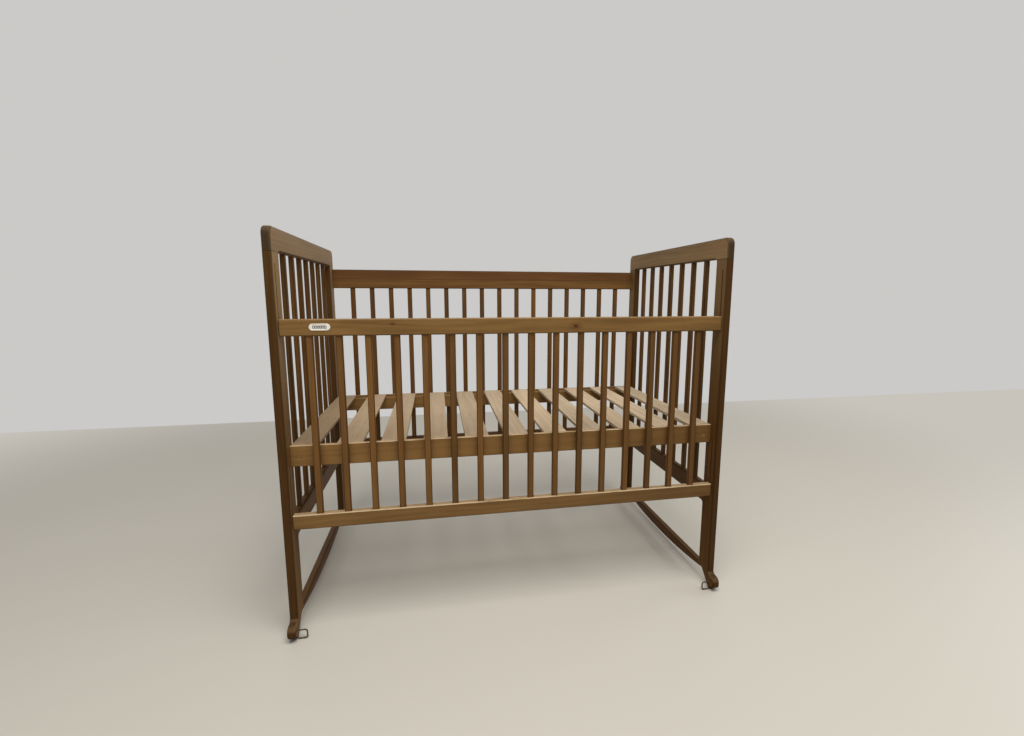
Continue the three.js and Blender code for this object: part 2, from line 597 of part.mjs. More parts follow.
function mattressBase() {
  const base = new THREE.Group();
  const slatLength = 2 * (plankFace - REBATE_CHEEK - JOINT_GAP);
  const slat = toGeometry(
    board(SLAT_WIDTH, SLAT_THICKNESS, slatLength, SLAT_EDGE, ALONG_Y, SMALL_EDGE_STEPS));
  for (let i = 0; i < SLAT_COUNT; i += 1) {
    const x = (i - (SLAT_COUNT - 1) / 2) * slatPitch;
    base.add(named(`slat_${i + 1}`, slat, SLAT_WOOD(), [x, 0, PLANK_TOP - SLAT_THICKNESS / 2]));
  }
  for (const end of [-1, 1]) {
    base.add(plank(end));
    for (const side of [-1, 1]) base.add(...boltAndDowel(side, end));
  }
  return base;
}

const crib = new THREE.Group();
crib.add(endPanel(-1), endPanel(1), frontSide(), rearSide(), mattressBase());

export default crib;
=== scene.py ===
# A wooden crib: end panels on rounded feet, a barred rear side, a barred front side that slides
# down, and a slatted mattress base. Metres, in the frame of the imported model, which gives the
# place and size of each piece.
import math

import bmesh
import bpy
from mathutils import Euler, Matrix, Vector
from mathutils.geometry import interpolate_bezier


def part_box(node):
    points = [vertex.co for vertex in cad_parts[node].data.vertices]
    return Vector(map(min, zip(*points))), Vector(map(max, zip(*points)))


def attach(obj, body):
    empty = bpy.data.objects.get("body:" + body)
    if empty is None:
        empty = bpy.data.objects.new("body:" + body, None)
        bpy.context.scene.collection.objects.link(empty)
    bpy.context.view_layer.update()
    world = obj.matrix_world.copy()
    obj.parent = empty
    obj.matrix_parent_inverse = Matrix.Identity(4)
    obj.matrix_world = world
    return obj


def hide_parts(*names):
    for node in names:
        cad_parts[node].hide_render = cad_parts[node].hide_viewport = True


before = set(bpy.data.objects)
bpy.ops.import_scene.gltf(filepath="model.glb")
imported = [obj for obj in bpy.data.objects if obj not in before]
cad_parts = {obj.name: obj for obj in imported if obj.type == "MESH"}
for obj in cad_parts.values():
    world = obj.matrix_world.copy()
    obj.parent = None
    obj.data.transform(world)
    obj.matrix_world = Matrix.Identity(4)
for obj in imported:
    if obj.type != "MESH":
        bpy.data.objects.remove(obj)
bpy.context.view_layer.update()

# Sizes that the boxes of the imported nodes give

LEFT_POST_LOW, LEFT_POST_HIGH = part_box("left_front_post")
TOP_RAIL_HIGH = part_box("left_top_rail")[1]
END_BARS_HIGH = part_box("left_low_rail_and_bars")[1]
PANEL_OUTER = -LEFT_POST_LOW.x
PANEL_INNER = -LEFT_POST_HIGH.x
PANEL_THICKNESS = PANEL_OUTER - PANEL_INNER
PANEL_MIDDLE = (PANEL_OUTER + PANEL_INNER) / 2
NOSE_TIP = -LEFT_POST_LOW.y
POST_INNER = -LEFT_POST_HIGH.y
POST_FACE = TOP_RAIL_HIGH.y
POST_MIDDLE = (POST_FACE + POST_INNER) / 2
HEIGHT = TOP_RAIL_HIGH.z
FRONT_RAIL_LOW, FRONT_RAIL_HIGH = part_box("front_top_rail")
REAR_RAIL_LOW, REAR_RAIL_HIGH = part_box("rear_top_rail")
REAR_BARS_LOW, REAR_BARS_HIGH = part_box("rear_low_rail_and_bars")
SIDE_TRAVEL = REAR_RAIL_HIGH.z - FRONT_RAIL_HIGH.z
SIDE_BARS = 16
SLATS = 11

# Sizes of the end panels that no box gives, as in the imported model

EDGE_ROUND = 0.0055
EDGE_STEPS = 5
TOP_CORNER = 0.020
INNER_CORNER = 0.008
CORNER_STEPS = 9
NOSE_TOP = 0.046
NOSE_TOP_RADIUS = 0.018
NOSE_FILLET = 0.009
TOE_SLOPE = (0.0225, 0.017)
TOE_CUTS = (0.0045, 0.0027)
HEEL_BEHIND_TIP = 0.0315
HEEL_STEP = (0.0015, 0.005)
SLOPE_LENGTH = 0.039
SLOPE_LEAD = (0.013, 0.013, 0.007, 0.003)
SLOPE_STEPS = 12
ARCH_RISE = 0.0199
ARCH_STEPS = 14
RAIL_UNDERSIDE = HEIGHT - 0.0595
LOW_RAIL_BOTTOM = 0.263
LOW_RAIL_TOP = 0.320
STRETCHER_TOP = 0.055
STRETCHER_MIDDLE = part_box("left_stretcher")[0].z

# The gap round a tenon, how far a cutting tool reaches past a face, how close together two points
# count as one, on the outline and elsewhere, and the turn from which an edge is shaded sharp

JOINT_GAP = 0.0003
PAST = 0.001
OUTLINE_CLOSE = 1e-5
CLOSE = 1e-6
SHARP_TURN = math.radians(38)

# Tenons: height and length, and for a post's tenon width and length

TENON_THICKNESS = 0.010
POST_TENON = (0.036, 0.030)
LOW_RAIL_TENON = (0.036, 0.018)
STRETCHER_TENON = (0.007, 0.015)
REAR_TENON_MARGIN = 0.008
BAR_TENON = 0.012

# Bars, rails, planks and slats

BAR_WIDTH = 0.017
BAR_THICKNESS = 0.012
BAR_ROUND = 0.0025
END_BARS = 7
END_BAR_PITCH = (2 * POST_INNER - END_BARS * BAR_WIDTH) / (END_BARS + 1) + BAR_WIDTH
REAR_FIRST_BAR = 0.07125
REAR_BAR_PITCH = 2 * (PANEL_INNER - REAR_FIRST_BAR) / (SIDE_BARS - 1)
REAR_LOW_RAIL_HEIGHT = 0.040
SIDE_ROUND = 0.0035
PLANK_ROUND = 0.002
REBATE_CHEEK = 0.009
SLAT_ROUND = 0.0015
END_ROUND = 0.0006
RAIL_END_ROUND = 0.0012

# Hardware

WIRE_RADIUS = 0.002
WIRE_HELD = 0.014
WIRE_REACH = 0.024
WIRE_BEND = 0.006
WIRE_SPACING = 0.0235
WIRE_END_GAP = 0.001
WIRE_GAP = 0.00015
WIRE_END_ROUND = 0.0004
PIN_RADIUS = 0.0015
PIN_HELD = 0.014
PIN_ROUND = 0.0005
GROOVE_DEPTH = 0.008
BOLT_RADIUS = 0.003
BOLT_HEAD_RADIUS = 0.0075
BOLT_HEAD_HEIGHT = 0.0035
BOLT_HEAD_ROUND = 0.0014
BOLT_SOCKET = (0.0025, 0.0022)
DOWEL_RADIUS = 0.005
DOWEL_ROUND = 0.0005
DOWEL_SLOT = (0.006, 0.001, 0.0012)
BADGE_RIM = (0.0011, 0.0003)
WAVE_HEIGHT = 0.0031
WAVE_LENGTH = 0.0112
WAVE_LINE = 0.0008
WAVES_REACH = 0.0168


# Modelling with Blender's own operators

def unselect():
    bpy.ops.object.select_all(action="DESELECT")


def only(piece):
    """Make this piece the one that the next operators act on."""
    unselect()
    piece.select_set(True)
    bpy.context.view_layer.objects.active = piece


def edit(piece, kind="FACE"):
    """Enter edit mode with nothing selected."""
    only(piece)
    bpy.ops.object.mode_set(mode="EDIT")
    bpy.ops.mesh.select_mode(type=kind)
    bpy.ops.mesh.select_all(action="DESELECT")


def leave():
    bpy.ops.object.mode_set(mode="OBJECT")


def pick(piece, elements, wanted):
    """In edit mode, select the verts, edges or faces for which wanted is true."""
    bpy.ops.mesh.select_all(action="DESELECT")
    mesh = bmesh.from_edit_mesh(piece.data)
    for element in getattr(mesh, elements):
        if wanted(element):
            element.select_set(True)
    mesh.select_flush_mode()
    bmesh.update_edit_mesh(piece.data)


def whole():
    """In edit mode, select everything."""
    bpy.ops.mesh.select_all(action="SELECT")


def merge_close(distance=CLOSE):
    """In edit mode, merge the vertices that are closer together than this."""
    whole()
    bpy.ops.mesh.remove_doubles(threshold=distance)


def face_outwards():
    """In edit mode, turn every face outwards."""
    whole()
    bpy.ops.mesh.normals_make_consistent(inside=False)


def extrude(shift):
    """In edit mode, extrude what is selected."""
    bpy.ops.mesh.extrude_region_move(TRANSFORM_OT_translate={"value": shift})


def bevel(size, steps, clamp=True):
    """In edit mode, round the edges that are selected."""
    bpy.ops.mesh.bevel(offset=size, segments=steps, affect="EDGES", clamp_overlap=clamp)


def modified(piece, kind, **settings):
    """Give a piece a modifier and apply it."""
    only(piece)
    bpy.ops.object.modifier_add(type=kind)
    change = piece.modifiers[-1]
    for name, value in settings.items():
        setattr(change, name, value)
    bpy.ops.object.modifier_apply(modifier=change.name)


def settle(piece):
    """Move the object's place into its mesh."""
    only(piece)
    bpy.ops.object.transform_apply(location=True, rotation=True, scale=True)


def remove(piece):
    only(piece)
    bpy.ops.object.delete()


def shifted(piece, shift):
    only(piece)
    bpy.ops.transform.translate(value=shift)
    settle(piece)
    return piece


def copied(piece, shift=(0, 0, 0)):
    """A copy with a mesh of its own, moved by shift."""
    only(piece)
    bpy.ops.object.duplicate()
    return shifted(bpy.context.object, shift)


def block(corner, opposite):
    """A plain block between opposite corners: the start of a board, or a tool to cut with."""
    low = Vector(map(min, corner, opposite))
    high = Vector(map(max, corner, opposite))
    unselect()
    bpy.ops.mesh.primitive_cube_add(size=1, location=(low + high) / 2)
    piece = bpy.context.object
    piece.scale = high - low
    settle(piece)
    return piece


def rod(radius, start, end, sides=24):
    """A round rod from one point to another."""
    start, end = Vector(start), Vector(end)
    run = end - start
    unselect()
    bpy.ops.mesh.primitive_cylinder_add(
        vertices=sides, radius=radius, depth=run.length, location=(start + end) / 2,
        rotation=Vector((0, 0, 1)).rotation_difference(run).to_euler())
    piece = bpy.context.object
    settle(piece)
    return piece


def joined(pieces):
    """Several objects as one."""
    only(pieces[0])
    for piece in pieces:
        piece.select_set(True)
    if len(pieces) > 1:
        bpy.ops.object.join()
    return pieces[0]


def cut(piece, tools, operation="DIFFERENCE"):
    """Cut the tools out of the piece, keep only what lies inside them, or add them to it."""
    tool = joined(tools)
    modified(piece, "BOOLEAN", object=tool, operation=operation, solver="EXACT")
    remove(tool)
    return piece


def smooth(piece):
    """Smooth shading that keeps the broad faces flat."""
    only(piece)
    bpy.ops.object.shade_smooth_by_angle(angle=SHARP_TURN)
    modified(piece, "WEIGHTED_NORMAL", keep_sharp=True)


def bevelled_ends(piece, axis, ends, size, steps=2):
    """In edit mode, round the rims of the faces that close a piece at these places."""
    pick(piece, "edges", lambda edge: any(
        all(abs(vert.co[axis] - end) < CLOSE for vert in edge.verts) for end in ends))
    bevel(size, steps)


def board(low, high, along, rounding, steps=4, end_round=END_ROUND):
    """A board between two corners, with its long edges and its ends rounded."""
    piece = block(low, high)
    edit(piece, "EDGE")
    pick(piece, "edges",
         lambda edge: abs((edge.verts[1].co - edge.verts[0].co).normalized()[along]) > 0.9)
    bevel(rounding, steps)
    bevelled_ends(piece, along, (low[along], high[along]), end_round)
    leave()
    return piece


def rounded_rod(radius, start, end, axis, rounding, sides=24):
    """A round rod along an axis, with rounded rims."""
    piece = rod(radius, start, end, sides)
    edit(piece)
    bevelled_ends(piece, axis, (start[axis], end[axis]), rounding)
    leave()
    return piece


# End panels: one rounded outline, then cut at its joints

def arch_height(y):
    """The height of the stretcher's underside at a depth, on an arc from post to post."""
    radius = (POST_INNER ** 2 + ARCH_RISE ** 2) / (2 * ARCH_RISE)
    return STRETCHER_MIDDLE + radius - math.sqrt(radius ** 2 - y ** 2)


def half_outline():
    """Depth, height and rounding of each point round the rear half of an end panel.

    The rounding is how far from the corner its arc begins.
    """
    heel = NOSE_TIP - HEEL_BEHIND_TIP
    start = Vector((heel - HEEL_STEP[0], HEEL_STEP[1]))
    end = Vector((heel - SLOPE_LENGTH, arch_height(heel - SLOPE_LENGTH)))
    back, up, ahead, down = SLOPE_LEAD
    slope = interpolate_bezier(start, start + Vector((-back, up)), end + Vector((ahead, -down)), end,
                               SLOPE_STEPS)
    arch = [end.x * (1 - step / ARCH_STEPS) for step in range(1, ARCH_STEPS)]
    return [
        (0, HEIGHT, 0),
        (POST_FACE, HEIGHT, TOP_CORNER),
        (POST_FACE, NOSE_TOP, NOSE_FILLET),
        (NOSE_TIP, NOSE_TOP, NOSE_TOP_RADIUS),
        (NOSE_TIP, TOE_SLOPE[1], TOE_CUTS[0]),
        (NOSE_TIP - TOE_SLOPE[0], 0, TOE_CUTS[1]),
        (heel, 0, 0),
        *((point.x, point.y, 0) for point in slope),
        *((y, arch_height(y), 0) for y in arch),
        (0, STRETCHER_MIDDLE, 0),
        (0, STRETCHER_TOP, 0),
        (POST_INNER, STRETCHER_TOP, INNER_CORNER),
        (POST_INNER, LOW_RAIL_BOTTOM, INNER_CORNER),
        (0, LOW_RAIL_BOTTOM, 0),
        (0, LOW_RAIL_TOP, 0),
        (POST_INNER, LOW_RAIL_TOP, INNER_CORNER),
        (POST_INNER, RAIL_UNDERSIDE, INNER_CORNER),
        (0, RAIL_UNDERSIDE, 0),
        (0, HEIGHT, 0),
    ]


def outline_face(points):
    """In edit mode, a flat face within an outline, its corners rounded, where a panel begins."""
    start = -PANEL_THICKNESS / 2
    unselect()
    bpy.ops.mesh.primitive_plane_add(size=OUTLINE_CLOSE, location=(start, points[0][0], points[0][1]))
    panel = bpy.context.object
    settle(panel)
    edit(panel, "VERT")
    whole()
    bpy.ops.mesh.merge(type="CENTER")
    for (y0, z0, _), (y1, z1, _) in zip(points, points[1:]):
        bpy.ops.mesh.extrude_vertices_move(TRANSFORM_OT_translate={"value": (0, y1 - y0, z1 - z0)})
    merge_close(OUTLINE_CLOSE)
    bpy.ops.mesh.edge_face_add()
    for rounding in sorted({point[2] for point in points} - {0}):
        corners = [Vector((start, y, z)) for y, z, size in points if size == rounding]
        pick(panel, "verts",
             lambda vert: any((vert.co - corner).length < OUTLINE_CLOSE for corner in corners))
        bpy.ops.mesh.bevel(offset=rounding, offset_type="ABSOLUTE", segments=CORNER_STEPS,
                           affect="VERTICES", clamp_overlap=False)
    return panel


def end_frame():
    """The whole frame of an end panel, in the middle of the crib, with rounded edges."""
    panel = outline_face(half_outline())
    bpy.ops.mesh.select_mode(type="FACE")
    whole()
    extrude((PANEL_THICKNESS, 0, 0))
    pick(panel, "faces", lambda face: abs(face.normal.y) > 0.9
         and abs(face.calc_center_median().y) < OUTLINE_CLOSE)
    bpy.ops.mesh.delete(type="FACE")
    leave()
    modified(panel, "MIRROR", use_axis=(False, True, False), merge_threshold=OUTLINE_CLOSE)
    edit(panel, "EDGE")
    face_outwards()
    pick(panel, "edges", lambda edge: edge.is_manifold and edge.calc_face_angle() > math.radians(80)
         and any(abs(face.normal.x) > 0.9 for face in edge.link_faces))
    bevel(EDGE_ROUND, EDGE_STEPS, clamp=False)
    leave()
    return panel


def through(y0, y1, z0, z1, half=PANEL_THICKNESS):
    """A block through an end panel in the middle of the crib, or with a smaller half a tenon."""
    return block((-half, y0, z0), (half, y1, z1))


def post_tenon(end, gap=0.0):
    """The tenon on a post's top, or with a gap its mortise in the top rail."""
    width, length = POST_TENON
    half = width / 2 + gap
    return through(end * POST_MIDDLE - half, end * POST_MIDDLE + half, RAIL_UNDERSIDE - PAST,
                   RAIL_UNDERSIDE + length + gap, TENON_THICKNESS / 2 + gap)


def cross_tenon(end, middle, size, gap=0.0):
    """The tenon of an end panel's low rail or stretcher, or with a gap its mortise in the post."""
    height, length = size
    half = height / 2 + gap
    return through(end * (POST_INNER - PAST), end * (POST_INNER + length + gap),
                   middle - half, middle + half, TENON_THICKNESS / 2 + gap)


LOW_RAIL_MIDDLE = (LOW_RAIL_BOTTOM + LOW_RAIL_TOP) / 2
STRETCHER_END = (STRETCHER_TOP + arch_height(POST_INNER)) / 2
BETWEEN_LOW_RAILS = (STRETCHER_TOP + LOW_RAIL_BOTTOM) / 2


def rear_tenon(side, rail_low, rail_high, gap=0.0):
    """The tenon of a rear rail, or with a gap its mortise in the rear post."""
    middle = (rail_low.y + rail_high.y) / 2
    half = TENON_THICKNESS / 2 + gap
    return block((side * (PANEL_INNER - PAST), middle - half, rail_low.z + REAR_TENON_MARGIN - gap),
                 (side * (REAR_RAIL_HIGH.x + gap), middle + half,
                  rail_high.z - REAR_TENON_MARGIN + gap))


def rear_low_rail():
    """The corners of the rear side's low rail, without its bars."""
    top = REAR_BARS_LOW.z + REAR_LOW_RAIL_HEIGHT
    return REAR_BARS_LOW, Vector((REAR_BARS_HIGH.x, REAR_BARS_HIGH.y, top))


def side_name(side):
    return "left" if side < 0 else "right"


def end_name(end):
    return "front" if end < 0 else "rear"


def corner_name(side, end):
    return f"{side_name(side)}_{end_name(end)}"


def middle_of(node):
    low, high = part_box(node)
    return (low + high) / 2


def post_holes(side, end):
    """Tools for a post's holes: its bolt's and wire's, and those of the side that it holds."""
    mouth = side * (PANEL_INNER - PAST)
    bolt = middle_of(f"{corner_name(side, end)}_base_bolt")
    wire_low, wire_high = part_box(f"{corner_name(side, end)}_stirrup")
    wire_y = (wire_low.y + wire_high.y) / 2
    wire_z = wire_high.z - WIRE_RADIUS
    tools = [
        rod(BOLT_RADIUS + JOINT_GAP, (mouth, bolt.y, bolt.z),
            (side * (PANEL_OUTER + PAST), bolt.y, bolt.z)),
        rod(WIRE_RADIUS + WIRE_GAP, (mouth, wire_y, wire_z),
            (side * (PANEL_INNER + WIRE_HELD + JOINT_GAP), wire_y, wire_z)),
    ]
    if end > 0:
        return [*tools, rear_tenon(side, REAR_RAIL_LOW, REAR_RAIL_HIGH, JOINT_GAP),
                rear_tenon(side, *rear_low_rail(), JOINT_GAP)]
    for level in ("low", "top"):
        low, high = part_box(f"{side_name(side)}_{level}_guide_pin")
        tools.append(block((mouth, low.y - JOINT_GAP, low.z - JOINT_GAP),
                           (side * (PANEL_INNER + GROOVE_DEPTH), high.y + JOINT_GAP,
                            high.z + SIDE_TRAVEL + JOINT_GAP)))
    return tools


def post(panel, side, end):
    """One post with its foot, its tenon, its mortises and the holes for its hardware."""
    piece = cut(copied(panel), [through(end * POST_INNER, end * (NOSE_TIP + PAST), -PAST,
                                        RAIL_UNDERSIDE - JOINT_GAP)], "INTERSECT")
    cut(piece, [post_tenon(end)], "UNION")
    cut(piece, [cross_tenon(end, LOW_RAIL_MIDDLE, LOW_RAIL_TENON, JOINT_GAP),
                cross_tenon(end, STRETCHER_END, STRETCHER_TENON, JOINT_GAP)])
    shifted(piece, (side * PANEL_MIDDLE, 0, 0))
    return cut(piece, post_holes(side, end))


END_BAR_PLACES = [(place - (END_BARS - 1) / 2) * END_BAR_PITCH for place in range(END_BARS)]


def bar_mortise(middle, half_width, half_thickness, z0, z1):
    """The hole for a bar's end, round a middle that gives its X and Y."""
    across = Vector((half_width + JOINT_GAP, half_thickness + JOINT_GAP))
    low, high = middle - across, middle + across
    return block((low.x, low.y, z0), (high.x, high.y, z1))


def end_top_rail(panel):
    """An end panel's top rail, with the mortises for its bars and for the posts' tenons."""
    inner = POST_INNER - JOINT_GAP
    beyond = NOSE_TIP + PAST
    piece = copied(panel)
    cut(piece, [through(-beyond, beyond, -PAST, RAIL_UNDERSIDE - INNER_CORNER - PAST)])
    for end in (-1, 1):
        cut(piece, [through(end * beyond, end * inner, -PAST, RAIL_UNDERSIDE)])
    mortises = [bar_mortise(Vector((0, y)), BAR_THICKNESS / 2, BAR_WIDTH / 2,
                            RAIL_UNDERSIDE - PAST, RAIL_UNDERSIDE + BAR_TENON)
                for y in END_BAR_PLACES]
    return cut(piece, [*mortises, post_tenon(-1, JOINT_GAP), post_tenon(1, JOINT_GAP)])


def end_low_rail(panel):
    """An end panel's low rail with its tenons, without its bars."""
    inner = POST_INNER - JOINT_GAP
    above = (LOW_RAIL_TOP + RAIL_UNDERSIDE) / 2
    piece = cut(copied(panel), [through(-inner, inner, BETWEEN_LOW_RAILS, above)], "INTERSECT")
    return cut(piece, [cross_tenon(end, LOW_RAIL_MIDDLE, LOW_RAIL_TENON) for end in (-1, 1)], "UNION")


def stretcher(panel):
    """The stretcher with an arched underside between an end panel's feet."""
    inner = POST_INNER - JOINT_GAP
    piece = cut(copied(panel), [through(-inner, inner, -PAST, BETWEEN_LOW_RAILS)], "INTERSECT")
    return cut(piece, [cross_tenon(end, STRETCHER_END, STRETCHER_TENON) for end in (-1, 1)], "UNION")


def bar(width, thickness, z0, z1):
    """An upright bar in the middle of the crib, of a width along X and a thickness along Y."""
    return board((-width / 2, -thickness / 2, z0), (width / 2, thickness / 2, z1), 2, BAR_ROUND)


def rail_with_bars(rail, first_bar, shifts, rail_wood, bar_wood):
    """A rail and its bars as one piece, in which each keeps its own wood."""
    bars = [copied(first_bar, shift) for shift in shifts]
    remove(first_bar)
    rail.data.materials.append(rail_wood)
    for made in bars:
        made.data.materials.append(bar_wood)
    return joined([rail, *bars])


# Sides and base

def front_rail(node, bars_above):
    """A rail of the sliding side, with the bars' mortises and the holes of its guide pins."""
    low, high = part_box(node)
    piece = board(low, high, 0, SIDE_ROUND, end_round=RAIL_END_ROUND)
    if bars_above:
        heights = high.z - BAR_TENON, high.z + PAST
    else:
        heights = low.z - PAST, low.z + BAR_TENON
    tools = [bar_mortise(middle_of(f"front_bar_{place}").xy, BAR_WIDTH / 2, BAR_THICKNESS / 2,
                         *heights)
             for place in range(1, SIDE_BARS + 1)]
    middle = (low + high) / 2
    for side in (-1, 1):
        tools.append(rod(PIN_RADIUS + JOINT_GAP / 2,
                         (side * (high.x - PIN_HELD - JOINT_GAP), middle.y, middle.z),
                         (side * (high.x + PAST), middle.y, middle.z)))
    return cut(piece, tools)


def rear_rail(low, high):
    """A rail of the fixed rear side, between the end panels, with its tenons."""
    inner = PANEL_INNER - JOINT_GAP
    piece = board((-inner, low.y, low.z), (inner, high.y, high.z), 0, SIDE_ROUND)
    return cut(piece, [rear_tenon(side, low, high) for side in (-1, 1)], "UNION")


REAR_BAR_SHIFTS = [((place - (SIDE_BARS - 1) / 2) * REAR_BAR_PITCH, middle_of("rear_top_rail").y, 0)
                   for place in range(SIDE_BARS)]


def rear_top_rail():
    """The rear side's top rail, with its tenons and the bars' mortises."""
    piece = rear_rail(REAR_RAIL_LOW, REAR_RAIL_HIGH)
    return cut(piece, [
        bar_mortise(Vector(shift).xy, BAR_WIDTH / 2, BAR_THICKNESS / 2,
                    REAR_RAIL_LOW.z - PAST, REAR_RAIL_LOW.z + BAR_TENON)
        for shift in REAR_BAR_SHIFTS])


def plank(end):
    """A plank of the base, with the rebate for the slats and the holes for its bolts and dowels."""
    low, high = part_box(f"base_{end_name(end)}_plank")
    middle = (low + high) / 2
    slat_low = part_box("slat_1")[0]
    piece = board(low, high, 0, PLANK_ROUND, steps=3)
    cheek = end * (abs(middle.y) + (high.y - low.y) / 2 - REBATE_CHEEK)
    cut(piece, [block((low.x - PAST, cheek, slat_low.z),
                      (high.x + PAST, cheek - end * (high.y - low.y), high.z + PAST))])
    for side in (-1, 1):
        name = corner_name(side, end)
        bolt_low, bolt_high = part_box(f"{name}_base_bolt")
        tip = min(bolt_high.x, bolt_low.x, key=abs) - side * JOINT_GAP
        dowel = middle_of(f"{name}_cross_dowel")
        cut(piece, [rod(BOLT_RADIUS + JOINT_GAP, (tip, dowel.y, dowel.z),
                        (side * PANEL_INNER, dowel.y, dowel.z))])
        cut(piece, [rod(DOWEL_RADIUS + JOINT_GAP / 2, (dowel.x, low.y - PAST, dowel.z),
                        (dowel.x, high.y + PAST, dowel.z))])
    return piece


# Hardware

def stirrup():
    """The wire stirrup of the left front foot: a square U on its side."""
    low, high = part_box("left_front_stirrup")
    x, y, z = low.x, (low.y + high.y) / 2, high.z - WIRE_RADIUS
    unselect()
    bpy.ops.mesh.primitive_circle_add(vertices=12, radius=WIRE_RADIUS, fill_type="NGON",
                                      location=(x, y, z), rotation=(0, math.pi / 2, 0))
    wire = bpy.context.object
    settle(wire)
    edit(wire)
    whole()
    bend = x + WIRE_HELD + WIRE_REACH - WIRE_BEND

    def turn(centre_z):
        bpy.ops.mesh.spin(steps=8, angle=math.pi / 2, center=(bend, y, centre_z), axis=(0, -1, 0))

    extrude((bend - x, 0, 0))
    turn(z - WIRE_BEND)
    extrude((0, 0, 2 * WIRE_BEND - WIRE_SPACING))
    turn(z - WIRE_SPACING + WIRE_BEND)
    extrude((WIRE_BEND + WIRE_END_GAP - WIRE_REACH, 0, 0))
    merge_close()
    face_outwards()
    pick(wire, "edges", lambda edge: any(len(face.verts) > 4 for face in edge.link_faces))
    bevel(WIRE_END_ROUND, 2, clamp=False)
    leave()
    return wire


def base_bolt(side, end):
    """A bolt with a rounded head and a hexagonal socket, whose shank grows out of the head."""
    low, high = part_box(f"{corner_name(side, end)}_base_bolt")
    middle = (low + high) / 2
    seat = side * PANEL_OUTER
    top = seat + side * BOLT_HEAD_HEIGHT
    tip = min(low.x, high.x, key=abs)
    piece = rod(BOLT_HEAD_RADIUS, (seat, middle.y, middle.z), (top, middle.y, middle.z), 32)
    edit(piece)
    pick(piece, "faces", lambda face: side * face.normal.x < -0.9)
    bpy.ops.mesh.inset(thickness=BOLT_HEAD_RADIUS - BOLT_RADIUS, depth=0)
    extrude((tip - seat, 0, 0))
    bevelled_ends(piece, 0, (top,), BOLT_HEAD_ROUND, 5)
    bevelled_ends(piece, 0, (tip,), END_ROUND)
    leave()
    radius, depth = BOLT_SOCKET
    return cut(piece, [rod(radius, (top - side * depth, middle.y, middle.z),
                           (top + side * PAST, middle.y, middle.z), 6)])


def cross_dowel(side, end):
    """A round nut that lies across the plank, with the bolt's hole and a screwdriver slot."""
    low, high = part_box(f"{corner_name(side, end)}_cross_dowel")
    middle = (low + high) / 2
    piece = rounded_rod(DOWEL_RADIUS, (middle.x, low.y, middle.z), (middle.x, high.y, middle.z), 1,
                        DOWEL_ROUND, 32)
    reach = Vector((2 * DOWEL_RADIUS, 0, 0))
    cut(piece, [rod(BOLT_RADIUS + JOINT_GAP / 2, middle - reach, middle + reach)])
    length, width, depth = DOWEL_SLOT
    face = low.y if end < 0 else high.y
    return cut(piece, [block((middle.x - length / 2, face - end * depth, middle.z - width / 2),
                             (middle.x + length / 2, face + end * PAST, middle.z + width / 2))])


def guide_pin(node):
    low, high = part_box(node)
    middle = (low + high) / 2
    return rounded_rod(PIN_RADIUS, (low.x, middle.y, middle.z), (high.x, middle.y, middle.z), 0,
                       PIN_ROUND)


def badge():
    """A small enamelled plate with round ends and a raised rim."""
    low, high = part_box("badge")
    piece = block(low, high)
    edit(piece, "EDGE")
    pick(piece, "edges", lambda edge: abs(edge.verts[0].co.y - edge.verts[1].co.y) > CLOSE)
    bevel((high.z - low.z) / 2, 16)
    merge_close()
    bevelled_ends(piece, 1, (low.y,), END_ROUND, 3)
    pick(piece, "faces", lambda face: face.normal.y < -0.99 and len(face.verts) > 8)
    width, step = BADGE_RIM
    bpy.ops.mesh.inset(thickness=width, depth=0)
    bpy.ops.mesh.inset(thickness=step, depth=-step)
    leave()
    return piece


# Shaders

def linear(red, green, blue):
    """A colour as seen on a screen, from 0 to 255, as the linear one that a shader takes."""
    parts = [part / 255 for part in (red, green, blue)]
    return (*(part / 12.92 if part <= 0.04045 else ((part + 0.055) / 1.055) ** 2.4
              for part in parts), 1)


class Value:
    """An output of a shader node. Arithmetic on it adds Math nodes."""

    def __init__(self, shader, socket):
        self.shader = shader
        self.socket = socket

    def __add__(self, other):
        return self.shader.math("ADD", self, other)

    def __radd__(self, other):
        return self.shader.math("ADD", other, self)

    def __sub__(self, other):
        return self.shader.math("SUBTRACT", self, other)

    def __rsub__(self, other):
        return self.shader.math("SUBTRACT", other, self)

    def __mul__(self, other):
        return self.shader.math("MULTIPLY", self, other)

    def __truediv__(self, other):
        return self.shader.math("DIVIDE", self, other)


